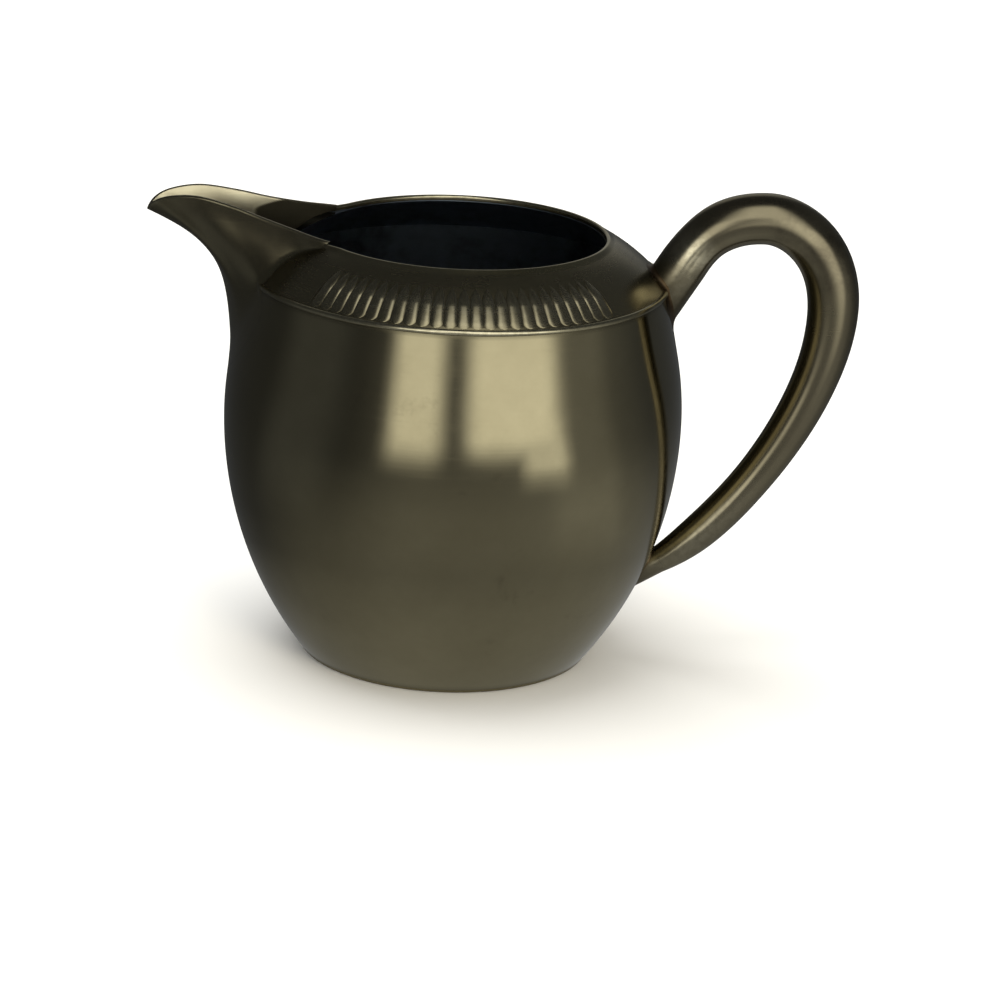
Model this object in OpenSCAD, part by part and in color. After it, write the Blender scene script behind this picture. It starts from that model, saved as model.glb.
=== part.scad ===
// Creamer: a spun barrel on a flat base, a pressed shoulder with reeded panels, a moulded
// wire over the shoulder joint, a wired mouth, an open sheet spout and a hollow loop handle
// made of two halves. The origin is the centre of the base's underside and +Z is up. The
// spout points to -X and the handle to +X.

/* [Barrel] */
// Radius of the belly at its widest
belly_r = 44; // [42:0.5:46]
// Height of the widest part of the belly
belly_h = 46.5; // [44:0.5:49]
// Outer radius of the barrel at the table
base_r = 28; // [26:0.5:31]
// Share by which the wall leans in more at the joint than the line to it from the belly
upper_lean_share = 0.322; // [0.1:0.01:0.8]
// Inset of the shoulder joint from the belly
joint_in = 4.5; // [3.5:0.25:5]
// Height of the shoulder joint
joint_h = 74.1; // [72.5:0.1:75.5]
// Thickness of the sheet of the barrel and the shoulder
wall = 1.1; // [0.9:0.1:1.4]
// Width of the barrel's edge round the base plate
base_edge = 0.3; // [0.2:0.05:0.5]
// Thickness of the base plate
base_t = 1; // [0.8:0.1:1.4]

/* [Shoulder] */
// Inset of the mouth's inner edge from the shoulder joint
mouth_in = 12; // [11:0.25:13]
// Height of the shoulder's sheet above its joint, up to the mouth wire
shoulder_h = 7.9; // [7.4:0.1:9.4]
// Radius of the shoulder's crown
shoulder_arc_r = 36; // [30:1:50]
// Width of the wire on the mouth
rim_wire_w = 1.85; // [1.5:0.05:2.1]
// Height of the wire on the mouth
rim_wire_h = 0.85; // [0.7:0.05:1]
// Radius of the mouth wire's rounded inner edge
rim_edge_r = 0.5; // [0.3:0.05:0.6]
// Radius of the moulded wire over the shoulder joint
joint_wire_r = 0.55; // [0.4:0.05:0.8]
// Depth of the shoulder's skirt inside the barrel
skirt_h = 2.5; // [1.5:0.25:4]
// Thickness of the shoulder's skirt
skirt_t = 0.6; // [0.4:0.1:0.9]

/* [Reeds] */
// Number of reeds in each panel
reed_count = 25; // [5:1:27]
// Width of one reed
reed_w = 1.9; // [1.4:0.1:2.1]
// Height of a reed above the sheet at its lower end
reed_proud = 0.38; // [0.2:0.02:0.5]
// Length of a reed along the shoulder
reed_len = 8; // [5:0.5:9]
// Distance of the reeds' lower ends above the shoulder joint
reed_lift = 1.1; // [0.9:0.1:1.6]
// Angle from one reed to the next
reed_pitch = 3.68; // [3.4:0.04:3.8]
// Angle by which each panel's middle is turned toward the handle
reed_shift = 1.7; // [0:0.1:4]

/* [Spout] */
// Reach of the spout beyond the mouth wire's ends
spout_reach = 34.2; // [30:0.1:38]
// Half of the spout's width at the mouth
spout_w = 14.8; // [13.5:0.1:15.5]
// Rise of the spout's edge above the mouth
spout_rise = 5.2; // [3:0.1:7]
// Depth from the mouth to the spout's foot on the barrel
spout_drop = 25.5; // [22:0.5:27]
// Thickness of the spout's sheet
spout_t = 1.05; // [0.8:0.05:1.3]
// Thickness of the edge that the spout's foot leaves on the barrel
foot_t = 0.4; // [0.25:0.05:0.6]
// Width of the lap between the spout's foot and the opening in the wall behind it
foot_lap = 5; // [4:0.5:7]

/* [Handle] */
// Reach of the handle's middle line beyond the belly
handle_reach = 27.5; // [24:0.5:31]
// Height of the handle's middle line above the shoulder joint at its top
handle_rise = 13.9; // [11:0.1:18]
// Depth below the shoulder joint at which the handle's middle line leaves the body
handle_root_drop = 0.5; // [0:0.1:3]
// Height at which the handle's middle line ends on the barrel
handle_foot_h = 17; // [14:0.1:19]
// Radius of the handle's tube at its thickest
handle_r = 5; // [4.2:0.05:5.5]
// Thickness of the handle's sheet
handle_wall = 0.8; // [0.6:0.05:1]
// Height of the solder fillet round the handle's upper end
upper_fillet = 1; // [0.6:0.1:1.6]
// Height of the solder fillet round the handle's lower end
lower_fillet = 0.8; // [0.5:0.1:1.2]

/* [Fits] */
// Clearance between the skirt and the barrel
fit = 0.05; // [0.02:0.01:0.1]
// Gap between soldered pieces that meet on curved faces
gap = 0.06; // [0.04:0.01:0.12]
// Gap left between the joint wire's ends and the spout or the handle's solder
joint_gap = 0.5; // [0.3:0.1:1]

/* [Hidden] */

silver = [0.47, 0.45, 0.38];
silver_light = [0.62, 0.60, 0.52];
silver_dark = [0.40, 0.38, 0.32];
solder = [0.36, 0.31, 0.23];

// Overrun of every cut beyond what it cuts
over = 1;
// Steps of a drawn arc, of the spout's edge, of its depth, and of the handle
arc_steps = 18;
lip_steps = 52;
depth_steps = 12;
handle_steps = 36;
half_steps = 10;

// The barrel's outline: a lower arc from the table to the belly, an upper arc, and a straight
// line that leaves that arc at turn_a and runs up to the joint. The upper arc's radius is
// negative where the joint is wider than the belly, so that the arc then turns outward.
low_arc_r = (pow(belly_r - base_r, 2) + pow(belly_h, 2)) / (2 * (belly_r - base_r));
low_x = belly_r - low_arc_r;
joint_r = belly_r - joint_in;
joint_up = joint_h - belly_h;
turn_a = (1 + upper_lean_share) * atan(joint_in / joint_up);
upper_arc_r = (joint_up - joint_in / tan(turn_a)) / tan(turn_a / 2);
up_x = belly_r - upper_arc_r;
turn_h = belly_h + upper_arc_r * sin(turn_a);

// The shoulder's outline: one arc from the joint to the foot of the mouth wire
mouth_r = joint_r - mouth_in;
neck_r = mouth_r + rim_wire_w;
neck_h = joint_h + shoulder_h;
mouth_top = neck_h + rim_wire_h;
chord = [neck_r - joint_r, neck_h - joint_h];
chord_out = [chord[1], -chord[0]] / norm(chord);
crown = [joint_r + neck_r, joint_h + neck_h] / 2
    - chord_out * sqrt(pow(shoulder_arc_r, 2) - pow(norm(chord) / 2, 2));
crown_low_a = atan2(joint_h - crown[1], joint_r - crown[0]);
crown_high_a = atan2(neck_h - crown[1], neck_r - crown[0]);

// Outer radius of the body at height z
function barrel_r(z) =
    z < belly_h ? low_x + sqrt(pow(low_arc_r, 2) - pow(z - belly_h, 2)) :
    z < turn_h ? up_x + sign(upper_arc_r) * sqrt(pow(upper_arc_r, 2) - pow(z - belly_h, 2)) :
    joint_r + (joint_h - z) * tan(turn_a);
function skin_r(z) = z < joint_h ? barrel_r(max(z, 0)) :
    crown[0] + sqrt(pow(shoulder_arc_r, 2) - pow(min(z, neck_h) - crown[1], 2));

// Point of a smooth line through the points of p, at the share t of its length in points
function smooth(p, t) =
    let(n = len(p) - 1, i = min(floor(t * n), n - 1), f = t * n - i,
        a = p[max(i - 1, 0)], b = p[i], c = p[i + 1], d = p[min(i + 2, n)])
    b + f * ((c - a) + f * ((2 * a - 5 * b + 4 * c - d) + f * (3 * b - a - 3 * c + d))) / 2;
// Point of a cubic curve with the four poles of p
function cubic(p, t) = pow(1 - t, 3) * p[0] + 3 * pow(1 - t, 2) * t * p[1]
    + 3 * (1 - t) * t * t * p[2] + pow(t, 3) * p[3];
function unit(v) = v / norm(v);

// Outline of the barrel, set in from its outer skin by inset, from the height low up
function barrel_line(inset, low) =
    let(start = asin((low - belly_h) / (low_arc_r - inset)))
    concat(
        [for (i = [0 : arc_steps]) let(a = start * (1 - i / arc_steps))
            [low_x + (low_arc_r - inset) * cos(a), belly_h + (low_arc_r - inset) * sin(a)]],
        [for (i = [1 : arc_steps]) let(a = turn_a * i / arc_steps)
            [up_x + (upper_arc_r - inset) * cos(a), belly_h + (upper_arc_r - inset) * sin(a)]],
        [[joint_r - inset / cos(turn_a), joint_h]]);
// Outline of the shoulder, set in from its outer skin by inset, between two angles
function shoulder_line(inset, from_a, to_a) =
    [for (i = [0 : arc_steps]) let(a = from_a + (to_a - from_a) * i / arc_steps)
        crown + (shoulder_arc_r - inset) * [cos(a), sin(a)]];
function reversed(p) = [for (i = [len(p) - 1 : -1 : 0]) p[i]];

// The spout is drawn by four guide lines from one end of the mouth wire round the tip: its
// edge, two guides in the sheet and its root on the body. The tables hold one half of each
// guide, from the mouth to the middle. x counts from the mouth wire's end in shares of
// spout_reach, y in shares of spout_w, and z up in shares of spout_rise for the edge and
// down in shares of spout_drop for the others, both from the top of the mouth.
edge_x_shares = [0, 0.153, 0.341, 0.525, 0.715, 0.866, 0.96, 1];
edge_y_shares = [1, 0.8, 0.616, 0.474, 0.359, 0.264, 0.174, 0];
edge_z_shares = [0, 0.201, 0.476, 0.789, 1, 0.903, 0.625, 0.269];
high_x_shares = [0, 0.149, 0.332, 0.494, 0.638, 0.672, 0.651, 0.616];
high_y_shares = [0.99, 0.8, 0.62, 0.445, 0.329, 0.239, 0.211, 0];
high_z_shares = [0.01, 0.01, 0.01, 0.014, 0.014, 0.049, 0.129, 0.171];
low_x_shares = [0.003, 0.137, 0.254, 0.336, 0.41, 0.445, 0.485, 0.55];
low_y_shares = [0.985, 0.82, 0.716, 0.675, 0.57, 0.466, 0.33, 0];
low_z_shares = [0.024, 0.05, 0.094, 0.154, 0.225, 0.286, 0.336, 0.27];
root_y_shares = [0.986, 0.83, 0.804, 0.892, 0.959, 0.851, 0.54, 0];
root_z_shares = [0.033, 0.09, 0.177, 0.287, 0.43, 0.606, 0.823, 1];

// Distance of the mouth wire's ends from the middle plane across the spout
spout_x = sqrt(pow(neck_r, 2) - pow(spout_w, 2));
function both_sides(p) = concat(p, [for (i = [len(p) - 2 : -1 : 0]) [p[i][0], -p[i][1], p[i][2]]]);
function guide(x_shares, y_shares, z_shares, z_scale) = both_sides(
    [for (i = [0 : len(x_shares) - 1])
        [-spout_x - x_shares[i] * spout_reach, -y_shares[i] * spout_w,
            mouth_top + z_shares[i] * z_scale]]);
edge_guide = guide(edge_x_shares, edge_y_shares, edge_z_shares, spout_rise);
high_guide = guide(high_x_shares, high_y_shares, high_z_shares, -spout_drop);
low_guide = guide(low_x_shares, low_y_shares, low_z_shares, -spout_drop);
root_guide = both_sides([for (i = [0 : len(root_y_shares) - 1])
    [0, -root_y_shares[i] * spout_w, mouth_top - root_z_shares[i] * spout_drop]]);

// Point on the body's skin at y and z on the spout's side, raised off it by lift
function on_skin(y, z, lift) = [-sqrt(pow(skin_r(z) + lift, 2) - y * y), y, z];
// Share of the way from the mouth to the middle of the spout
function midward(v) = 1 - abs(2 * v - 1);
// Point of the spout's outer face: v runs round the edge and u from the edge to the root
function spout_face(v, u) =
    let(root = smooth(root_guide, v), lift = gap + (foot_t - gap) * pow(midward(v), 3))
    cubic([smooth(edge_guide, v), smooth(high_guide, v), smooth(low_guide, v),
        on_skin(root[1], min(root[2], neck_h), lift)], u);
// Small steps along v and u that give the face's direction
nudge = 0.004;
// Direction from the outer face into the trough
function spout_normal(v, u) =
    let(v0 = max(v - nudge, 0), v1 = min(v + nudge, 1),
        u0 = max(u - nudge, 0), u1 = min(u + nudge, 1))
    unit(cross(spout_face(v, u1) - spout_face(v, u0), spout_face(v1, u) - spout_face(v0, u)));
// Keeps a point of the spout's inner face clear of the body's skin
function off_skin(p) =
    let(r = norm([p[0], p[1]]), least = skin_r(p[2]) + gap)
    p[2] > neck_h || r > least ? p : [p[0] * least / r, p[1] * least / r, p[2]];
// The inner face ends level with the outer one at the edge, so that the edge is cut flat
edge_flat_share = 0.15;
function spout_inside(v, u) =
    let(n = spout_normal(v, u), rise = min(u / edge_flat_share, 1))
    off_skin(spout_face(v, u) + spout_t * [n[0], n[1], n[2] * rise]);

// Half width and depth shares of the opening in the wall behind the spout
hole_side_share = 1 - spout_t / spout_w;
hole_depth_share = 1 - foot_lap / spout_drop;

// The handle's middle line: three cubic curves in the plane of x and z, over the top, down
// the outside, and in to the foot. The shares place their poles along the spans they join.
handle_out_x = belly_r + handle_reach;
handle_top_h = joint_h + handle_rise;
handle_root_h = joint_h - handle_root_drop;
handle_root = [skin_r(handle_root_h), handle_root_h];
handle_foot = [skin_r(handle_foot_h), handle_foot_h];
top_span = handle_out_x - handle_root[0];
rise_span = handle_top_h - handle_root_h;
fall_span = handle_top_h - handle_foot_h;
top_x_share = 0.57;
out_h_share = 0.247;
root_pole_shares = [0.12, 0.42];
top_pole_shares = [0.37, 0.16];
out_pole_shares = [0.865, 0.295];
foot_pole_shares = [0.4, 0.075];
handle_top = [handle_root[0] + top_x_share * top_span, handle_top_h];
handle_out = [handle_out_x, handle_top_h - out_h_share * fall_span];
handle_spans = [
    [handle_root, handle_root + [root_pole_shares[0] * top_span, root_pole_shares[1] * rise_span],
        handle_top - [top_pole_shares[0] * top_span, 0], handle_top],
    [handle_top, handle_top + [top_pole_shares[1] * top_span, 0],
        handle_out + [0, out_pole_shares[0] * rise_span], handle_out],
    [handle_out, handle_out - [0, out_pole_shares[1] * fall_span],
        handle_foot + [foot_pole_shares[0] * top_span, foot_pole_shares[1] * fall_span],
        handle_foot]];
// Radius of the tube at equal steps along the three spans, in shares of handle_r
tube_shares = [1, 0.94, 0.91, 0.96, 0.98, 0.99, 1, 1, 0.975, 0.86, 0.76, 0.7, 0.44];
// Shares of the whole middle line between which the tube's rings stand free of the body
handle_start_share = 0.085;
handle_end_share = 0.975;

function handle_at(t) =
    let(n = len(handle_spans), i = min(floor(t * n), n - 1)) cubic(handle_spans[i], t * n - i);
function handle_dir(t) =
    unit(handle_at(min(t + nudge, 1)) - handle_at(max(t - nudge, 0)));
function tube_r(t) = handle_r * smooth(tube_shares, t);
// Point of the tube at t, at the angle a round it, on a tube thinner by inset
function tube_point(t, a, inset) =
    let(c = handle_at(t), d = handle_dir(t), r = tube_r(t) - inset)
    [c[0] - d[1] * r * cos(a), -r * sin(a), c[1] + d[0] * r * cos(a)];
// Height of a point above the body's skin
function height_off(p) = norm([p[0], p[1]]) - skin_r(p[2]);
// Distance from p along d to where the height off the skin is lift, by halving the span
halvings = 26;
function reach(p, d, lift, low, high, n) = n == 0 ? (low + high) / 2 :
    let(mid = (low + high) / 2)
    height_off(p + mid * d) > lift ? reach(p, d, lift, mid, high, n - 1)
        : reach(p, d, lift, low, mid, n - 1);
function landed(p, d, lift) = p + d * reach(p, d, lift, -handle_r, 5 * handle_r, halvings);
// Ring end of the tube on the body: toward is -1 at the upper end and 1 at the lower end
function seat_point(toward, a, inset, lift) =
    let(t = toward < 0 ? handle_start_share : handle_end_share, d = handle_dir(t) * toward)
    landed(tube_point(t, a, inset), [d[0], 0, d[1]], lift);
function tube_ring(k, a, inset) =
    k == 0 ? seat_point(-1, a, inset, gap) :
    k == handle_steps + 2 ? seat_point(1, a, inset, gap) :
    tube_point(handle_start_share
        + (handle_end_share - handle_start_share) * (k - 1) / handle_steps, a, inset);

// Two triangles for each square of a sheet of points, m to a row, closed round each row
function tube_faces(rows, m) = [for (k = [0 : rows - 2]) for (j = [0 : m - 1])
    let(a = k * m + j, b = k * m + (j + 1) % m, c = b + m, d = a + m)
    each [[a, c, b], [a, d, c]]];
// Triangles that close the end of a folded row: its first half faces its second half
function end_faces(first, m, flip) = [for (j = [0 : m / 2 - 2])
    let(a = first + j, b = first + j + 1, c = first + m - 2 - j, d = first + m - 1 - j)
    each flip ? [[a, b, c], [a, c, d]] : [[a, c, b], [a, d, c]]];

module base_plate() {
    color(silver_dark) cylinder(r = base_r - base_edge, h = base_t, $fn = 120);
}

// Prism along x through the wall behind the spout, with the outline of the spout's root
module spout_opening() {
    side = [for (i = [0 : lip_steps]) smooth(root_guide, i / lip_steps)];
    hole = [for (p = side) [p[1] * hole_side_share,
        mouth_top - (mouth_top - p[2]) * hole_depth_share]];
    outline = concat([[hole[0][0], mouth_top + over]], hole,
        [[-hole[0][0], mouth_top + over]]);
    rotate([90, 0, -90]) mirror([1, 0, 0]) linear_extrude(belly_r + over) polygon(outline);
}

module barrel() {
    seat_r = base_r - base_edge;
    outer = barrel_line(0, 0);
    inner = barrel_line(wall, base_t);
    outline = concat(outer, reversed(inner), [[seat_r, base_t], [seat_r, 0]]);
    color(silver) difference() {
        rotate_extrude($fn = 180) polygon(outline);
        spout_opening();
    }
}

// One reed: a bent half round bar along the shoulder that sinks into it at its upper end
module reed() {
    bar_r = (pow(reed_w / 2, 2) + pow(reed_proud, 2)) / (2 * reed_proud);
    low_a = crown_low_a + reed_lift / shoulder_arc_r * 180 / PI;
    foot = crown + shoulder_arc_r * [cos(low_a), sin(low_a)];
    reed_arc_r = 1 / (1 / shoulder_arc_r + 2 * reed_proud / pow(reed_len, 2));
    centre = foot - reed_arc_r * [cos(low_a), sin(low_a)];
    rotate([90, 0, 0]) translate([centre[0], centre[1], 0]) rotate([0, 0, low_a])
        rotate_extrude(angle = reed_len / reed_arc_r * 180 / PI, $fn = 90)
        intersection() {
            translate([reed_arc_r + reed_proud - bar_r, 0]) circle(bar_r, $fn = 60);
            translate([reed_arc_r - wall / 2, -bar_r]) square([wall + bar_r, 2 * bar_r]);
        }
}

module reed_panel(side) {
    for (i = [0 : reed_count - 1])
        rotate([0, 0, side * (90 - reed_shift - (i - (reed_count - 1) / 2) * reed_pitch)]) reed();
}

module shoulder() {
    inner_high_a = acos((mouth_r - crown[0]) / (shoulder_arc_r - wall));
    inner_low_a = asin((joint_h - crown[1]) / (shoulder_arc_r - wall));
    skirt_out = joint_r - (wall + fit) / cos(turn_a);
    skirt_in = skirt_out - skirt_t;
    skirt_lean = skirt_h * tan(turn_a);
    outline = concat(shoulder_line(0, crown_low_a, crown_high_a), [[mouth_r, neck_h]],
        shoulder_line(wall, inner_high_a, inner_low_a),
        [[skirt_in, joint_h], [skirt_in + skirt_lean, joint_h - skirt_h],
        [skirt_out + skirt_lean, joint_h - skirt_h], [skirt_out, joint_h]]);
    color(silver) difference() {
        union() {
            rotate_extrude($fn = 180) polygon(outline);
            reed_panel(-1);
            reed_panel(1);
        }
        spout_opening();
    }
}

// Ring along part of a circle, open toward the spout by spout_a and the handle by handle_a
module open_ring(spout_a, handle_a) {
    rotate([0, 0, handle_a]) rotate_extrude(angle = 180 - spout_a - handle_a, $fn = 180)
        children();
    rotate([0, 0, 180 + spout_a]) rotate_extrude(angle = 180 - spout_a - handle_a, $fn = 180)
        children();
}

// The wire lies in the corner between the barrel and the shoulder, outside both faces
module joint_wire() {
    from_a = turn_a - 90;
    to_a = crown_low_a + 90;
    out = [cos((from_a + to_a) / 2), sin((from_a + to_a) / 2)];
    corner = [joint_r, joint_h] + gap * out;
    section = concat([corner], [for (i = [0 : arc_steps])
        let(a = from_a + (to_a - from_a) * i / arc_steps)
        corner + joint_wire_r * [cos(a), sin(a)]]);
    // Widest half width of the spout's root where the wire meets it
    root = max([for (i = [0 : lip_steps]) let(p = smooth(root_guide, i / lip_steps))
        abs(p[2] - joint_h) < 2 * joint_wire_r + joint_gap ? abs(p[1]) : 0]);
    solder_w = handle_r * tube_shares[0] + upper_fillet;
    color(silver_light) open_ring(asin((root + joint_gap) / joint_r),
        asin((solder_w + joint_gap) / joint_r)) polygon(section);
}

// The mouth wire carries the shoulder's slope on to its rounded inner edge
module rim_wire() {
    end_a = asin((spout_w + gap) / neck_r) + gap / neck_r * 180 / PI;
    centre = [mouth_r + rim_edge_r, mouth_top - rim_edge_r];
    span = centre - [neck_r, neck_h];
    touch_a = atan2(span[1], span[0]) - asin(rim_edge_r / norm(span)) - 90;
    touch = centre + rim_edge_r * [cos(touch_a), sin(touch_a)];
    color(silver_light) rotate([0, 0, end_a - 180])
        rotate_extrude(angle = 360 - 2 * end_a, $fn = 180) intersection() {
            union() {
                translate(centre) circle(rim_edge_r, $fn = 48);
                polygon([[mouth_r, neck_h], [neck_r, neck_h], touch, centre,
                    [mouth_r, centre[1]]]);
            }
            translate([mouth_r, neck_h]) square([rim_wire_w, rim_wire_h]);
        }
}

module spout() {
    m = 2 * (depth_steps + 1);
    points = [for (i = [0 : lip_steps]) let(v = i / lip_steps) each concat(
        [for (j = [0 : depth_steps]) spout_face(v, j / depth_steps)],
        [for (j = [depth_steps : -1 : 0]) spout_inside(v, j / depth_steps)])];
    color(silver) polyhedron(points, concat([for (f = tube_faces(lip_steps + 1, m)) reversed(f)],
        end_faces(0, m, false), end_faces(lip_steps * m, m, true)));
}

module handle_half() {
    m = 2 * (half_steps + 1);
    rows = handle_steps + 3;
    points = [for (k = [0 : rows - 1]) each concat(
        [for (j = [0 : half_steps]) tube_ring(k, 180 * j / half_steps, 0)],
        [for (j = [half_steps : -1 : 0]) tube_ring(k, 180 * j / half_steps, handle_wall)])];
    polyhedron(points, concat(tube_faces(rows, m),
        end_faces(0, m, true), end_faces((rows - 1) * m, m, false)));
}

module handle_front() {
    color(silver) handle_half();
}

module handle_back() {
    color(silver) mirror([0, 1, 0]) handle_half();
}

// Fillet in the corner between the tube's end and the body, three points to a section
module solder_ring(toward, size) {
    rows = 4 * half_steps;
    points = [for (k = [0 : rows - 1]) let(a = 360 * k / rows,
            t = toward < 0 ? handle_start_share : handle_end_share, d = handle_dir(t),
            corner = seat_point(toward, a, -gap, gap))
        each [corner, corner - toward * size * [d[0], 0, d[1]],
            seat_point(toward, a, -gap - size, gap)]];
    faces = [for (k = [0 : rows - 1]) for (j = [0 : 2])
        let(a = 3 * k + j, b = 3 * k + (j + 1) % 3, c = 3 * ((k + 1) % rows) + (j + 1) % 3,
            e = 3 * ((k + 1) % rows) + j)
        each toward < 0 ? [[a, c, b], [a, e, c]] : [[a, b, c], [a, c, e]]];
    color(solder) polyhedron(points, faces);
}

module handle_upper_solder() {
    solder_ring(-1, upper_fillet);
}

module handle_lower_solder() {
    solder_ring(1, lower_fillet);
}

base_plate();
barrel();
shoulder();
joint_wire();
rim_wire();
spout();
handle_front();
handle_back();
handle_upper_solder();
handle_lower_solder();
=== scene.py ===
import math

import bmesh
import bpy
import numpy as np
from mathutils import Matrix, Vector


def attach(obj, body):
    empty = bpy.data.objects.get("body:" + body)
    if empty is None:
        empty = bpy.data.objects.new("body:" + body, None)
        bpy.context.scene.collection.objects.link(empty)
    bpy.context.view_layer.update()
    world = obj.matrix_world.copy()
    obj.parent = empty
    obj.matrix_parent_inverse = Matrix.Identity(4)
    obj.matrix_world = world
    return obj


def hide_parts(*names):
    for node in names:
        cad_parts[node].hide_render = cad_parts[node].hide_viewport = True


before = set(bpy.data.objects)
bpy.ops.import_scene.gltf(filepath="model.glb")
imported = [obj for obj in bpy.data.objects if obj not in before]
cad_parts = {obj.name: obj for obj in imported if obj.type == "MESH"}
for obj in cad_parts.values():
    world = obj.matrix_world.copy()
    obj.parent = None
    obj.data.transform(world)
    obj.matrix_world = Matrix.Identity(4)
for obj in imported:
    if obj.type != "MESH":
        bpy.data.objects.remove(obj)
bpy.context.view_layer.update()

# Everything below is measured in millimetres until a mesh is made.
MM = 0.001

# Sizes of the body
belly_r, belly_h, base_r, lean_share = 44.0, 46.5, 28.0, 0.322
joint_r, joint_h, wall = 39.5, 74.1, 1.1
mouth_r, neck_h, shoulder_arc_r = 27.5, 82.0, 36.0
rim_w, rim_h, rim_edge_r, joint_wire_r = 1.85, 0.85, 0.5, 0.55
base_edge, base_t = 0.3, 1.0
# Gap between two sheets that meet
seam = 0.05

# Sizes of the reeds
reed_count, reed_w, reed_proud, reed_len = 25, 2.75, 0.44, 9.4
reed_lift, reed_pitch, reed_shift, reed_full = 0.7, 3.68, 1.7, 0.5

# Sizes of the spout
spout_reach, spout_w, spout_rise, spout_drop, spout_t = 34.2, 14.8, 5.2, 25.5, 1.05

# Sizes of the handle
handle_reach, handle_top_h, handle_root_h, handle_foot_h = 27.5, 88.0, 73.6, 17.0
handle_r, handle_wall = 5.0, 0.8
upper_fillet, lower_fillet = 1.0, 0.8

# The barrel's outline: a lower arc, an upper arc and a short straight up to the joint
low_arc_r = ((belly_r - base_r) ** 2 + belly_h ** 2) / (2 * (belly_r - base_r))
low_x = belly_r - low_arc_r
turn_a = (1 + lean_share) * math.atan((belly_r - joint_r) / (joint_h - belly_h))
upper_arc_r = (joint_h - belly_h - (belly_r - joint_r) / math.tan(turn_a)) / math.tan(turn_a / 2)
up_x = belly_r - upper_arc_r
turn_h = belly_h + upper_arc_r * math.sin(turn_a)

# The shoulder's outline: one arc from the joint to the foot of the mouth wire
neck_r = mouth_r + rim_w
mouth_top = neck_h + rim_h
chord = np.array([neck_r - joint_r, neck_h - joint_h])
chord_out = np.array([chord[1], -chord[0]]) / np.hypot(*chord)
crown = (np.array([joint_r + neck_r, joint_h + neck_h]) / 2
         - chord_out * math.sqrt(shoulder_arc_r ** 2 - (np.hypot(*chord) / 2) ** 2))
crown_low_a = math.atan2(joint_h - crown[1], joint_r - crown[0])
crown_high_a = math.atan2(neck_h - crown[1], neck_r - crown[0])
spout_x = math.sqrt(neck_r ** 2 - spout_w ** 2)


def unit(value):
    """The value, held between 0 and 1."""
    return np.clip(value, 0, 1)


def skin_r(z):
    """Outer radius of the body at height z."""
    z = np.asarray(z, float)
    low = low_x + np.sqrt(low_arc_r ** 2 - (np.clip(z, 0, belly_h) - belly_h) ** 2)
    up = up_x + np.sqrt(upper_arc_r ** 2 - (np.clip(z, belly_h, turn_h) - belly_h) ** 2)
    straight = joint_r + (joint_h - z) * math.tan(turn_a)
    top = crown[0] + np.sqrt(shoulder_arc_r ** 2 - (np.clip(z, joint_h, neck_h) - crown[1]) ** 2)
    return np.where(z < belly_h, low,
                    np.where(z < turn_h, up, np.where(z < joint_h, straight, top)))


def smooth(p, t):
    """Points of a smooth line through the points of p, at shares t of its length in points."""
    p = np.asarray(p, float)
    n = len(p) - 1
    t = np.asarray(t, float)
    i = np.minimum(np.floor(t * n).astype(int), n - 1)
    f = t * n - i
    if p.ndim > 1:
        f = f[..., None]
    a, b, c, d = p[np.maximum(i - 1, 0)], p[i], p[i + 1], p[np.minimum(i + 2, n)]
    return b + f * ((c - a) + f * ((2 * a - 5 * b + 4 * c - d) + f * (3 * b - a - 3 * c + d))) / 2


def cubic(p, t):
    """Points of a cubic curve with the four poles of p."""
    t = np.asarray(t, float)[..., None]
    return ((1 - t) ** 3 * p[0] + 3 * (1 - t) ** 2 * t * p[1]
            + 3 * (1 - t) * t * t * p[2] + t ** 3 * p[3])


# -------------------- materials

# Sizes of the metal's patterns, in metres. Real hairlines and spinning rings are several times
# finer: they are drawn as coarse as they need to show.
patch_size, stain_size, wave_size, mottle_size = 0.025, 0.03, 0.009, 0.0012
hair_gap, hair_length, ring_gap = 0.0004, 0.03, 0.0008

# Heights of the relief, in millimetres
wave_h, mottle_h, hair_h, ring_h = 0.02, 0.0007, 0.0005, 0.0016

# What the plate's own roughness grows by where it is dull, scratched, or darkened by tarnish and
# painted shade
dull_rough, hair_rough, patina_and_shade_rough = 0.12, 0.08, 0.35
# Colours for tarnish with painted shade in hollows, and for bare silver with painted highlights on
# high edges
patina_and_shade_colour, bare_and_highlight_silver = "2A261B", "EFE7CA"


def hex_colour(text):
    """sRGB hex to linear, with alpha."""
    parts = [int(text[i:i + 2], 16) / 255 for i in (0, 2, 4)]
    return [c / 12.92 if c <= 0.04045 else ((c + 0.055) / 1.055) ** 2.4 for c in parts] + [1.0]


def add(tree, kind, settings=None, **links):
    """Adds a node with its settings. The links join its inputs, by name or number, to sockets
    or to the first output of nodes."""
    node = tree.nodes.new(kind)
    settings = settings or {}
    own = [key for key in settings if isinstance(key, str) and hasattr(node, key)]
    for key in own:
        setattr(node, key, settings[key])
    for key in settings.keys() - set(own):
        node.inputs[key].default_value = settings[key]
    for key, source in links.items():
        is_number = key[0] == "i" and key[1:].isdigit()
        name = int(key[1:]) if is_number else key.replace("_", " ")
        tree.links.new(getattr(source, "outputs", [source])[0], node.inputs[name])
    return node


def empty_material(name):
    """A new material and its tree, without nodes."""
    material = bpy.data.materials.new(name)
    material.use_nodes = True
    material.node_tree.nodes.clear()
    return material, material.node_tree


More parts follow.
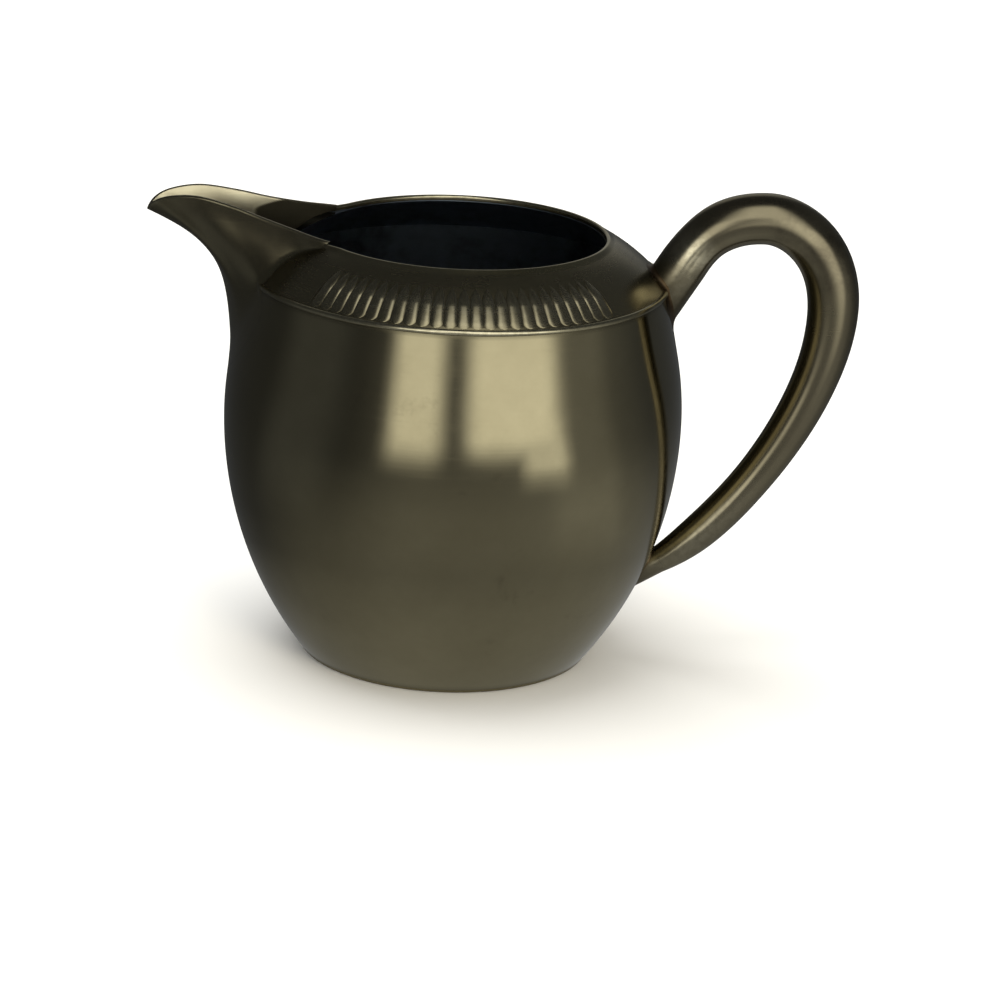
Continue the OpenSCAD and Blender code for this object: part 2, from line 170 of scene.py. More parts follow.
def silver(name, clean, dull, stain, rough, spun=False, stain_level=0.55, patina_wear_and_painted_light=False,
           scratch=0.6):
    """Polished silver plate over white metal, spun or raised: a warm mirror that has dulled in
    patches, with stains, hairline scratches, and faint rings where it was spun. With its marks
    on, hollows darken with tarnish and painted shade, and high edges lighten with wear and
    painted highlights."""
    material, tree = empty_material(name)
    place = add(tree, "ShaderNodeTexCoord").outputs["Object"]
    # Patches of dull plate
    patches = add(tree, "ShaderNodeTexNoise",
                  {"Scale": 1 / patch_size, "Detail": 6.0, "Roughness": 0.68}, Vector=place)
    patch = add(tree, "ShaderNodeMapRange", {"From Min": 0.3, "From Max": 0.75}, Value=patches)
    # Fine mottling of the plate
    mottle = add(tree, "ShaderNodeTexNoise", {"Scale": 1 / mottle_size, "Detail": 3.0},
                 Vector=place)
    # Stains, that only show above their level
    stains = add(tree, "ShaderNodeTexNoise",
                 {"Scale": 1 / stain_size, "Detail": 6.0, "Roughness": 0.72, "Distortion": 0.2},
                 Vector=place)
    stained = add(tree, "ShaderNodeMapRange",
                  {"From Min": stain_level, "From Max": stain_level + 0.22},
                  Value=stains)
    colour = add(tree, "ShaderNodeMix",
                 {"data_type": "RGBA", 6: hex_colour(clean), 7: hex_colour(dull)},
                 i0=patch).outputs[2]
    colour = add(tree, "ShaderNodeMix", {"data_type": "RGBA", 7: hex_colour(stain)},
                 i0=stained, i6=colour).outputs[2]
    grime = None
    if patina_wear_and_painted_light:
        # Tarnish in corners and grooves, with painted shade there too, darkens the colour
        grime = add(tree, "ShaderNodeAttribute", {"attribute_name": "grime"}).outputs["Fac"]
        grime = add(tree, "ShaderNodeMath", {"operation": "MULTIPLY", 1: 0.85}, i0=grime)
        colour = add(tree, "ShaderNodeMix", {"data_type": "RGBA", 7: hex_colour(patina_and_shade_colour)},
                     i0=grime, i6=colour).outputs[2]
        # High edges rubbed bright by handling, with painted highlights there too, lighten the
        # colour
        rubbed = add(tree, "ShaderNodeAttribute", {"attribute_name": "rubbed"}).outputs["Fac"]
        scuffs = add(tree, "ShaderNodeMapRange",
                     {"From Min": 0.42, "From Max": 0.58, "To Min": 0.6}, Value=mottle)
        rubbed = add(tree, "ShaderNodeMath", {"operation": "MULTIPLY"}, i0=rubbed, i1=scuffs)
        colour = add(tree, "ShaderNodeMix", {"data_type": "RGBA", 7: hex_colour(bare_and_highlight_silver)},
                     i0=rubbed, i6=colour).outputs[2]
    # Hairline scratches: two sets of streaks that cross at a slant
    streaks = []
    for turn, density in ((0.5, 1), (-0.8, 1.4)):
        turned = add(tree, "ShaderNodeMapping",
                     {"Rotation": (turn, 0.4, turn * 0.7),
                      "Scale": (1 / hair_length, 1 / hair_length, density / hair_gap)},
                     Vector=place)
        streak = add(tree, "ShaderNodeTexNoise", {"Scale": 1.0, "Detail": 2.0}, Vector=turned)
        streaks.append(add(tree, "ShaderNodeMapRange", {"From Min": 0.6, "From Max": 0.75},
                           Value=streak))
    hair = add(tree, "ShaderNodeMath", {"operation": "MAXIMUM"}, i0=streaks[0], i1=streaks[1])
    # Roughness: smooth plate, rougher where dull, scratched, or darkened by tarnish and painted
    # shade
    roughness = add(tree, "ShaderNodeMapRange", {"To Min": rough, "To Max": rough + dull_rough},
                    Value=patch)
    for mask, more in ((hair, hair_rough * scratch), (grime, patina_and_shade_rough)):
        if mask:
            roughness = add(tree, "ShaderNodeMath", {"operation": "MULTIPLY_ADD", 1: more},
                            i0=mask, i2=roughness)
    # Relief: waves of hand polishing, the mottling, scratches and spinning rings
    waves = add(tree, "ShaderNodeTexNoise", {"Scale": 1 / wave_size, "Detail": 1.0}, Vector=place)
    relief = add(tree, "ShaderNodeMath", {"operation": "MULTIPLY", 1: wave_h}, i0=waves)
    for mask, height in ((mottle, mottle_h), (hair, -hair_h * scratch)):
        relief = add(tree, "ShaderNodeMath", {"operation": "MULTIPLY_ADD", 1: height},
                     i0=mask, i2=relief)
    if spun:
        # Rings of the spinning tool round the body's axis
        along = add(tree, "ShaderNodeSeparateXYZ", None, Vector=place).outputs["Z"]
        ring = add(tree, "ShaderNodeMath", {"operation": "MULTIPLY", 1: 1 / ring_gap}, i0=along)
        rings = add(tree, "ShaderNodeTexNoise",
                    {"noise_dimensions": "1D", "Scale": 1.0, "Detail": 2.0}, W=ring)
        relief = add(tree, "ShaderNodeMath", {"operation": "MULTIPLY_ADD", 1: ring_h},
                     i0=rings, i2=relief)
    bump = add(tree, "ShaderNodeBump", {"Strength": 1.0, "Distance": MM}, Height=relief)
    shader = add(tree, "ShaderNodeBsdfPrincipled", {"Metallic": 1.0},
                 Base_Color=colour, Roughness=roughness, Normal=bump)
    add(tree, "ShaderNodeOutputMaterial", None, Surface=shader)
    return material


# Silver plate clean, dull and stained
tones = ("968E73", "888066", "675F4A")
# Silver plate on a spun body: the sharpest mirror of all, with faint rings round it
plate = silver("silver_plate_spun", *tones, rough=0.07, spun=True, stain_level=0.62, patina_wear_and_painted_light=True)
# Silver plate on a pressed sheet: the same metal with the die's softer gloss, no rings
pressed_plate = silver("silver_plate_pressed", *tones, rough=0.2, patina_wear_and_painted_light=True)
# Silver plate on drawn wire: a little paler, a thin bright line along its back
wire_plate = silver("silver_plate_drawn_wire", "A49C80", "8D8566", "675F4A", rough=0.15, patina_wear_and_painted_light=True)
# Silver plate on sheet raised with the hammer and planished: a soft mirror
raised_plate = silver("silver_plate_raised_sheet", *tones, rough=0.13, patina_wear_and_painted_light=True)
# Silver plate worn pale by pouring and washing, its colour painted paler still as a highlight: a
# broad satin light
pale_highlight_plate = silver("silver_plate_spout_inside", "E9E0C0", "CEC4A6", "9A9178", rough=0.36,
                      patina_wear_and_painted_light=True)
# Silver plate on a soldered tube, smoothed by the hand: few scratches and one long highlight. Its
# tones are a little darker than the body's, as painted shade
shaded_handle_plate = silver("silver_plate_handle", "88806A", "77705C", "585143", rough=0.165,
                    patina_wear_and_painted_light=True, scratch=0.25)
# Soft solder, run in and left: a brown grey that hardly mirrors
lead_solder = silver("soft_solder_aged", "80725A", "67563E", "493B2A", rough=0.38, stain_level=0.4)
# White metal sheet, sawn and tarnished, with painted shade where it sits in the spout's root: a
# nearly black edge
cut_edge = silver("silver_cut_edge_tarnished", "24231D", "1C1B16", "13120E", rough=0.55,
                  stain_level=0.45)
# Silver plate oxidised where no polish reaches: a cold, matt blue grey
inside = silver("silver_oxidised_inside", "808994", "656D76", "424342", rough=0.4, stain_level=0.45)


# -------------------- meshes

def mesh_object(name, verts, faces, materials, kinds=None, smooth_angle=38, **attributes):
    """An object from points in millimetres. kinds gives each face's material by number, and an
    attribute gives each point a value."""
    mesh = bpy.data.meshes.new(name)
    mesh.from_pydata([tuple(MM * float(c) for c in v) for v in verts], [], faces)
    for material in materials:
        mesh.materials.append(material)
    if kinds is not None:
        mesh.polygons.foreach_set("material_index", np.asarray(kinds, dtype=np.int32))
    for key, values in attributes.items():
        layer = mesh.attributes.new(key, "FLOAT", "POINT")
        layer.data.foreach_set("value", np.asarray(values, dtype=np.float32).reshape(-1))
    finish_mesh(mesh, smooth_angle)
    return place_in_scene(name, mesh)


def place_in_scene(name, data):
    """A new object of the data, linked to the scene."""
    piece = bpy.data.objects.new(name, data)
    bpy.context.scene.collection.objects.link(piece)
    return piece


def finish_mesh(mesh, smooth_angle=38):
    """Shades the mesh smooth, with sharp edges where it turns by more than smooth_angle."""
    mesh.validate()
    mesh.polygons.foreach_set("use_smooth", np.ones(len(mesh.polygons), dtype=bool))
    mesh.set_sharp_from_angle(angle=math.radians(smooth_angle))
    mesh.update()


def grid_faces(rows, cols, close_rows, close_cols, flip=False):
    """Quads of a grid of points, row by row, closed along either way."""
    faces = []
    for k in range(rows if close_rows else rows - 1):
        for j in range(cols if close_cols else cols - 1):
            a, b = k * cols + j, k * cols + (j + 1) % cols
            c, d = ((k + 1) % rows) * cols + (j + 1) % cols, ((k + 1) % rows) * cols + j
            faces.append((d, c, b, a) if flip else (a, b, c, d))
    return faces


def tube_faces(rows, cols, flip=False):
    """Quads between closed rows, and a flat face on the first and last row."""
    caps = [tuple(range(cols)), tuple(range((rows - 1) * cols, rows * cols))[::-1]]
    return grid_faces(rows, cols, False, True, flip) + caps


def plain_mesh(piece):
    """Gives the piece its evaluated shape as a plain mesh, without modifiers."""
    depsgraph = bpy.context.evaluated_depsgraph_get()
    mesh = bpy.data.meshes.new_from_object(piece.evaluated_get(depsgraph))
    piece.modifiers.clear()
    piece.data = mesh
    mesh.name = piece.name


def outward(piece):
    """Turns the faces of a closed shape outwards."""
    work = bmesh.new()
    work.from_mesh(piece.data)
    bmesh.ops.remove_doubles(work, verts=work.verts, dist=1e-7)
    bmesh.ops.recalc_face_normals(work, faces=work.faces)
    work.to_mesh(piece.data)
    work.free()
    finish_mesh(piece.data)
    return piece


def hand_over(piece, node):
    """Puts the piece in the place of its CAD node, with its faces turned outwards."""
    outward(piece)
    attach(piece, "root")
    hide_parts(node)


def arc(centre, radius, start, end, steps):
    """Points of an arc in the half plane of r and z, angles in radians."""
    a = np.linspace(start, end, steps + 1)
    return np.stack([centre[0] + radius * np.cos(a), centre[1] + radius * np.sin(a)], -1)


def spin(profile, angles):
    """Points of an outline turned round the axis: one row to an angle."""
    r, z = profile[:, 0], profile[:, 1]
    c, s = np.cos(angles)[:, None], np.sin(angles)[:, None]
    return np.stack([r * c, r * s, np.broadcast_to(z, (len(angles), len(z)))], -1).reshape(-1, 3)


def axis_distance(points):
    """Distance of points from the body's axis."""
    return np.hypot(points[..., 0], points[..., 1])


def widen(points, by):
    """Multiplies the points' distance from the axis."""
    points[..., 0] *= by
    points[..., 1] *= by


# -------------------- the spout's outer face

# Four guide lines round the tip, as half tables from the mouth to the middle. Each is in shares
# of the spout's reach, half width and rise or drop.
edge_x = [0, 0.153, 0.341, 0.525, 0.715, 0.866, 0.96, 1]
edge_y = [1, 0.8, 0.616, 0.474, 0.359, 0.264, 0.174, 0]
edge_z = [0, 0.201, 0.476, 0.789, 1, 0.903, 0.625, 0.269]
high_x = [0, 0.149, 0.332, 0.494, 0.638, 0.672, 0.651, 0.616]
high_y = [0.99, 0.8, 0.62, 0.445, 0.329, 0.239, 0.211, 0]
high_z = [0.01, 0.01, 0.01, 0.014, 0.014, 0.049, 0.129, 0.171]
lower_x = [0.003, 0.137, 0.254, 0.336, 0.41, 0.445, 0.485, 0.55]
lower_y = [0.985, 0.82, 0.716, 0.675, 0.57, 0.466, 0.33, 0]
lower_z = [0.024, 0.05, 0.094, 0.154, 0.225, 0.286, 0.336, 0.27]
root_y = [0.986, 0.83, 0.804, 0.892, 0.959, 0.851, 0.54, 0]
root_z = [0.033, 0.09, 0.177, 0.287, 0.43, 0.606, 0.823, 1]


def both_sides(half):
    """The half line and its mirror image, as one line."""
    return np.array(half + [(x, -y, z) for x, y, z in half[-2::-1]])


def guide(xs, ys, zs, z_scale):
    """A guide line from its half tables."""
    return both_sides([(-spout_x - x * spout_reach, -y * spout_w, mouth_top + z * z_scale)
                       for x, y, z in zip(xs, ys, zs)])


edge_guide = guide(edge_x, edge_y, edge_z, spout_rise)
high_guide = guide(high_x, high_y, high_z, -spout_drop)
lower_guide = guide(lower_x, lower_y, lower_z, -spout_drop)
root_guide = both_sides([(0, -y * spout_w, mouth_top - z * spout_drop)
                         for y, z in zip(root_y, root_z)])


def spout_face(v, u):
    """Outer face of the spout: v round the edge, u from the edge to the root on the body."""
    root = smooth(root_guide, v)
    z = np.minimum(root[..., 2], neck_h)
    foot = np.stack([-np.sqrt(skin_r(z) ** 2 - root[..., 1] ** 2), root[..., 1], z], -1)
    return cubic([smooth(edge_guide, v), smooth(high_guide, v), smooth(lower_guide, v), foot], u)


# -------------------- body pieces

def make_opening():
    """Prism along x through the wall behind the spout, a little inside the spout's root."""
    line = smooth(root_guide, np.linspace(0, 1, 97))
    side, depth, over_mouth, far_x = 1 - spout_t / spout_w, 1 - 5 / spout_drop, 2, -46.0
    hole = [(p[1] * side, mouth_top - (mouth_top - p[2]) * depth) for p in line]
    outline = ([(hole[0][0], mouth_top + over_mouth)] + hole
               + [(-hole[0][0], mouth_top + over_mouth)])
    n = len(outline)
    verts = [(x, y, z) for x in (far_x, 0.0) for y, z in outline]
    faces = [(i, (i + 1) % n, n + (i + 1) % n, n + i) for i in range(n)]
    faces += [tuple(range(n))[::-1], tuple(range(n, 2 * n))]
    return outward(mesh_object("spout_opening_cutter", verts, faces, [cut_edge]))


def cut_opening(piece, cutter):
    """Cuts the opening, whose edge brings its own finish."""
    cut = piece.modifiers.new("opening", "BOOLEAN")
    cut.operation = "DIFFERENCE"
    cut.solver = "EXACT"
    cut.material_mode = "TRANSFER"
    cut.object = cutter
    plain_mesh(piece)
    finish_mesh(piece.data)


def make_barrel(cutter):
    """The spun barrel: up the outside from its rounded foot to the joint, and down the inside."""
    round_h, round_share, patina_and_shade_w = 0.35, 0.6, 1.6
    round_r = round_h * round_share
    low_start = math.asin((round_h - belly_h) / low_arc_r)
    outer_low = arc((low_x, belly_h), low_arc_r, low_start, 0, 60)
    outer_up = arc((up_x, belly_h), upper_arc_r, 0, turn_a, 30)[1:]
    straight = np.linspace(outer_up[-1], (joint_r, joint_h - seam), 12)[1:]
    edge = arc((outer_low[0][0] - round_r, round_h), round_r, -math.pi / 2, -0.35, 4)
    edge[:, 1] = round_h + (edge[:, 1] - round_h) / round_share
    inner_start = math.asin((base_t - belly_h) / (low_arc_r - wall))
    inner = np.concatenate([arc((low_x, belly_h), low_arc_r - wall, inner_start, 0, 30),
                            arc((up_x, belly_h), upper_arc_r - wall, 0, turn_a, 16)[1:],
                            [(joint_r - wall / math.cos(turn_a), joint_h - seam)]])
    foot_in = base_r - base_edge
    outline = np.concatenate([edge, outer_low, outer_up, straight, inner[::-1],
                              [(foot_in, base_t), (foot_in, 0.0)]])
    outer_n = len(edge) + len(outer_low) + len(outer_up) + len(straight)
    angles = np.radians(np.arange(0, 360, 1.0))
    verts = spin(outline, angles)
    rows, cols = len(angles), len(outline)
    faces = grid_faces(rows, cols, True, True, flip=True)
    kinds = ([0] * (outer_n - 1) + [1] * (cols - outer_n - 1) + [0, 0]) * rows
    # Tarnish and painted shade lie under the joint, and the foot is darker round its edge
    z = verts[:, 2]
    grime = unit((z - joint_h + patina_and_shade_w) / patina_and_shade_w) ** 2 * 0.8 + unit(1 - z / patina_and_shade_w) * 0.5
    piece = mesh_object("barrel_spun", verts, faces, [plate, inside], kinds, grime=grime)
    cut_opening(piece, cutter)
    hand_over(piece, "barrel")


def make_base():
    """The flat base plate with its rounded edge: each side is rings of quads round a middle."""
    edge_r = base_r - base_edge - 0.04
    radii = [2, 6, 10, 14, 18, 22, 25]
    low = [(r, 0.0) for r in radii]
    edge = [(edge_r - 0.25, 0.0), (edge_r - 0.07, 0.07), (edge_r, 0.25), (edge_r, base_t)]
    high = [(r, base_t) for r in radii[::-1]]
    ring = np.array(low + edge + high)
    angles = np.radians(np.arange(0, 360, 2.0))
    rows, cols = len(angles), len(ring)
    verts = np.concatenate([spin(ring, angles), [(0, 0, 0), (0, 0, base_t)]])
    faces = grid_faces(rows, cols, True, False, flip=True)
    centre = rows * cols
    for k in range(rows):
        after = (k + 1) % rows
        faces.append((k * cols, after * cols, centre))
        faces.append((k * cols + cols - 1, centre + 1, after * cols + cols - 1))
    kinds = ([0] * (len(low) + 3) + [1] * len(high)) * rows + [0, 1] * rows
    piece = mesh_object("base_plate_flat", verts, faces, [plate, inside], kinds,
                        grime=np.full(len(verts), 0.3))
    hand_over(piece, "base_plate")


def make_reed():
    """One reed in the half plane of x and z: a bar that follows the shoulder, round at its lower
    end, fullest at reed_full of its length and pointed at its upper end."""
    along, across, sunk, buried = 44, 18, 0.012, 0.3
    lengths = reed_len * np.linspace(0, 1, along + 1) ** 1.3
    half_w = reed_w / 2
    round_end = np.sqrt(np.clip(1 - (1 - unit(lengths / half_w)) ** 2, 0.0004, 1))
    share = lengths / reed_len
    past = unit((share - reed_full) / (1 - reed_full))
    width = half_w * round_end * (1 - 0.97 * past ** 1.6)
    crest = reed_proud * round_end * (0.4 + 0.6 * unit(share / reed_full)) * (1 - past ** 1.3)
    verts, grime, bright = [], [], []
    for length, w, h in zip(lengths, width, crest):
        a = crown_low_a + (reed_lift + length) / shoulder_arc_r
        t = np.linspace(-1, 1, across + 1)
        heights = np.concatenate([h * (1 - np.abs(t) ** 2.8) - sunk, np.full(3, -buried)])
        t = np.concatenate([t, [1, 0, -1]])
        r = crown[0] + (shoulder_arc_r + heights) * math.cos(a)
        z = crown[1] + (shoulder_arc_r + heights) * math.sin(a)
        turn = t * w / r
        verts += list(zip(r * np.cos(turn), r * np.sin(turn), z))
        # The reed's sides darken into the grooves with tarnish and painted shade; its crest is
        # lighter with wear and a painted highlight
        grime += list(0.9 * np.abs(t) ** 12)
        bright += list(0.3 * h / reed_proud * (1 - np.abs(t) ** 4))
    faces = tube_faces(along + 1, across + 4, flip=True)
    return outward(mesh_object("reed", verts, faces, [pressed_plate], grime=grime, rubbed=bright))


def reed_tree():
    """Geometry nodes that set the two panels of reeds round the shoulder: each point turns one
    reed about the body's axis, and the second panel starts a jump further on. Gives the tree
    and the values of its inputs."""
    tree = bpy.data.node_groups.new("reed_panels", "GeometryNodeTree")
    first = math.radians(-90 + reed_shift - (reed_count - 1) / 2 * reed_pitch)
    jump = math.radians(180 - 2 * reed_shift - reed_count * reed_pitch)
    sizes = {"Shoulder": ("Geometry", None), "Reed": ("Object", None),
             "Metal": ("Material", pressed_plate), "Inside": ("Material", inside),
             "Cut Edge": ("Material", cut_edge), "Panel Count": ("Int", reed_count),
             "Pitch": ("Float", math.radians(reed_pitch)), "First": ("Float", first),
             "Jump": ("Float", jump)}
    for key, (kind, _) in sizes.items():
        tree.interface.new_socket(key, in_out="INPUT", socket_type="NodeSocket" + kind)
    tree.interface.new_socket("Geometry", in_out="OUTPUT", socket_type="NodeSocketGeometry")
    given = add(tree, "NodeGroupInput").outputs
    number = add(tree, "GeometryNodeInputIndex")
    both = add(tree, "ShaderNodeMath", {"operation": "MULTIPLY", 1: 2.0}, i0=given["Panel Count"])
    points = add(tree, "GeometryNodePoints", None, Count=both)
    turn = add(tree, "ShaderNodeMath", {"operation": "MULTIPLY_ADD"},
               i0=number, i1=given["Pitch"], i2=given["First"])
    place = add(tree, "ShaderNodeMath", {"operation": "ADD", 1: 0.5}, i0=number)
    second = add(tree, "ShaderNodeMath", {"operation": "LESS_THAN"},
                 i0=given["Panel Count"], i1=place)
    turn = add(tree, "ShaderNodeMath", {"operation": "MULTIPLY_ADD"},
               i0=second, i1=given["Jump"], i2=turn)
    about = add(tree, "ShaderNodeCombineXYZ", None, Z=turn)
    facing = add(tree, "FunctionNodeEulerToRotation", None, i0=about)
    reed = add(tree, "GeometryNodeObjectInfo", None, Object=given["Reed"])
    set_round = add(tree, "GeometryNodeInstanceOnPoints", None, Points=points,
                    Instance=reed.outputs["Geometry"], Rotation=facing)
    whole = add(tree, "GeometryNodeJoinGeometry", None, Geometry=set_round)
    tree.links.new(given["Shoulder"], whole.inputs[0])
    real = add(tree, "GeometryNodeRealizeInstances", None, Geometry=whole)
    # The sheet's inner side and the cut edge keep their own finish
    inner = add(tree, "GeometryNodeMaterialSelection", None, Material=given["Inside"])
    cut = add(tree, "GeometryNodeMaterialSelection", None, Material=given["Cut Edge"])
    outer = add(tree, "FunctionNodeBooleanMath", {"operation": "NOR"}, i0=inner, i1=cut)
    metal = add(tree, "GeometryNodeSetMaterial", None, Geometry=real,
                Selection=outer, Material=given["Metal"])
    add(tree, "NodeGroupOutput", None, i0=metal)
    return tree, {key: value for key, (_, value) in sizes.items()}


def make_shoulder(cutter):
    """The pressed shoulder: over the top, under the mouth wire, back inside and down a skirt
    that slips into the barrel. Its reeds are set on it by reed_tree."""
    run_steps, side_steps, steps_per_reed, top_round, under = 64, 66, 4, 0.18, 0.06
    skirt_t, skirt_h, panel_edge, fade, high_fade = 0.6, 2.5, 1.0, 1.5, 5
    outer = arc(crown, shoulder_arc_r, crown_low_a, crown_high_a, run_steps)
    outer[0, 1] += seam
    # The top edge turns in sharply under the mouth wire
    under_wire = [(neck_r - 0.02, neck_h - under), (mouth_r + top_round, neck_h - under)]
    inner_high = math.acos((mouth_r - crown[0]) / (shoulder_arc_r - wall))
    inner_low = math.asin((joint_h - crown[1]) / (shoulder_arc_r - wall))
    inner = arc(crown, shoulder_arc_r - wall, inner_high, inner_low, 12)
    skirt_out = joint_r - (wall + seam) / math.cos(turn_a)
    lean = skirt_h * math.tan(turn_a)
    skirt = [(skirt_out - skirt_t, joint_h), (skirt_out - skirt_t + lean, joint_h - skirt_h),
             (skirt_out + lean, joint_h - skirt_h), (skirt_out, joint_h + 0.04)]
    outline = np.concatenate([outer, under_wire, inner, skirt])
    # Fine steps round the two panels, coarse ones elsewhere
    half_panel = reed_count / 2 * reed_pitch + panel_edge
    fine = np.arange(-half_panel, half_panel + 1e-6, reed_pitch / steps_per_reed)
    front = -90 + reed_shift + fine
    back = 90 - reed_shift + fine
    right = np.linspace(front[-1], back[0], side_steps)[1:-1]
    left = np.linspace(back[-1], front[0] + 360, side_steps)[1:-1]
    angles = np.radians(np.concatenate([front, right, back, left]))
    verts = spin(outline, angles)
    rows, cols = len(angles), len(outline)
    faces = grid_faces(rows, cols, True, True, flip=True)
    kinds = ([0] * (run_steps + 1) + [1] * (cols - run_steps - 1)) * rows
    # Tarnish and painted shade lie along the joint and in the grooves between the reeds
    low = unit(1 - (verts[:, 2] - joint_h) / 1.0) ** 2 * 0.8
    away = np.degrees(np.abs(np.arctan2(verts[:, 0], np.abs(verts[:, 1]))
                             - math.radians(reed_shift)))
    runs = np.zeros(cols)
    runs[:run_steps + 1] = shoulder_arc_r * (np.linspace(crown_low_a, crown_high_a, run_steps + 1)
                                             - crown_low_a)
    runs = np.tile(runs, rows)
    groove = (unit((half_panel - fade - away) / fade)
              * unit((reed_lift + reed_len - runs) / high_fade))
    groove = 0.8 * groove * (runs > reed_lift + 0.4)
    piece = mesh_object("shoulder_reeded", verts, faces, [pressed_plate, inside], kinds,
                        grime=np.maximum(low, groove), rubbed=np.zeros(len(verts)))
    cut_opening(piece, cutter)
    outward(piece)
    reed = make_reed()
    tree, sizes = reed_tree()
    sizes["Reed"] = reed
    panels = piece.modifiers.new("reeds", "NODES")
    panels.node_group = tree
    for item in tree.interface.items_tree:
        if item.in_out == "INPUT" and sizes[item.name] is not None:
            panels[item.identifier] = sizes[item.name]
    plain_mesh(piece)
    bpy.data.objects.remove(reed)
    hand_over(piece, "shoulder")


# -------------------- wires

def wire_wear_and_highlight(angle):
    """How far a wire is lightened by handling wear and a painted highlight: most at the body's
    front and back.
    """
    return 0.06 + 0.5 * np.sin(angle) ** 6


def make_ring(name, section, start, end, steps, patina_and_shade_of):
    """A wire of closed section carried round part of a circle, with flat ends."""
    angles = np.radians(np.linspace(start, end, steps + 1))
    faces = tube_faces(len(angles), len(section), flip=True)
    # Wear and a painted highlight run round the wire, kept off its edges, where tarnish and painted
    # shade darken the section
    rubbed = np.outer(wire_wear_and_highlight(angles), 1 - unit(3 * patina_and_shade_of))
    return outward(mesh_object(name, spin(section, angles), faces, [wire_plate],
                               grime=np.tile(patina_and_shade_of, len(angles)), rubbed=rubbed))


def join(name, pieces):
    """One piece out of several, with their meshes put together in place."""
    work = bmesh.new()
    for piece in pieces:
        work.from_mesh(piece.data)
    mesh = bpy.data.meshes.new(name)
    work.to_mesh(mesh)
    work.free()
    for material in pieces[0].data.materials:
        mesh.materials.append(material)
    finish_mesh(mesh)
    for piece in pieces:
        bpy.data.objects.remove(piece)
    return place_in_scene(name, mesh)


def make_joint_wire():
    """The moulded wire over the joint's outer corner, broken at the spout and the handle."""
    steps, spout_foot_w, clear = 260, 14.3, 0.5
    from_a, to_a = turn_a - math.pi / 2, crown_low_a + math.pi / 2
    mid = (from_a + to_a) / 2
    corner = np.array([joint_r, joint_h]) + 0.03 * np.array([math.cos(mid), math.sin(mid)])
    section = np.concatenate([[corner], arc(corner, joint_wire_r, from_a, to_a, 16)])
    # Tarnish and painted shade darken the wire's edges, where it meets the body
    grime = np.concatenate([[1.0], np.abs(np.linspace(-1, 1, 17)) ** 6])
    by_spout = math.degrees(math.asin((spout_foot_w + clear) / joint_r))
    by_handle = math.degrees(math.asin((handle_r + upper_fillet + clear) / joint_r))
    back = make_ring("wire_back", section, by_handle, 180 - by_spout, steps, grime)
    front = make_ring("wire_front", section, 180 + by_spout, 360 - by_handle, steps, grime)
    hand_over(join("joint_wire_moulded", [back, front]), "joint_wire")


def make_rim_wire():
    """The mouth wire runs on from the shoulder's slope to a rounded inner edge. Toward the spout
    its inner side draws out to the thickness of the spout's sheet."""
    steps, run_on, under, clear, run_in = 320, 9.0, 0.1, 0.06, 0.9
    end_a = math.degrees(math.asin((spout_w + clear) / neck_r)) - run_in
    foot = np.array([neck_r, neck_h])
    slope = np.array([-math.sin(crown_high_a), math.cos(crown_high_a)])
    rows, grime, bright = [], [], []
    for angle in np.radians(np.linspace(end_a - 180, 180 - end_a, steps + 1)):
        near = unit(1 - (180 - end_a - abs(math.degrees(angle))) / run_on)
        inset = (rim_w - spout_t) * near * near * (3 - 2 * near)
        centre = np.array([mouth_r + inset + rim_edge_r, mouth_top - rim_edge_r])
        span = centre - foot
        touch_a = (math.atan2(span[1], span[0]) - math.asin(rim_edge_r / np.hypot(*span))
                   - math.pi / 2)
        touch = centre + rim_edge_r * np.array([math.cos(touch_a), math.sin(touch_a)])
        reach = np.hypot(*(touch - foot))
        along = np.array([-math.sin(touch_a), math.cos(touch_a)])
        out = cubic([foot, foot + slope * reach * 0.3, touch - along * reach * 0.3, touch],
                    np.linspace(0, 1, 11))
        edge = arc(centre, rim_edge_r, touch_a, math.pi, 16)[1:]
        section = np.concatenate([out, edge, [(mouth_r + inset, neck_h - under),
                                              (neck_r - 0.3, neck_h - under)]])
        rows.append(np.stack([section[:, 0] * math.cos(angle), section[:, 0] * math.sin(angle),
                              section[:, 1]], -1))
        # Tarnish and painted shade where the wire meets the shoulder and under it; wear and a
        # painted highlight along the rounded inner edge
        grime.append([0.15] + [0.0] * (len(section) - 4) + [0.4, 1.0, 1.0])
        edge_highlight_and_wear = wire_wear_and_highlight(angle) * np.sin(np.linspace(0.2, 2.6, len(edge)))
        bright.append([0.0] * len(out) + list(edge_highlight_and_wear) + [0.0, 0.0])
    faces = tube_faces(len(rows), len(rows[0]), flip=True)
    piece = mesh_object("rim_wire_flush", np.concatenate(rows), faces, [wire_plate],
                        grime=grime, rubbed=bright)
    hand_over(piece, "rim_wire")


# -------------------- spout

def over_skin(points):
    """How far points lie outside the body."""
    return axis_distance(points) - skin_r(np.minimum(points[..., 2], neck_h))


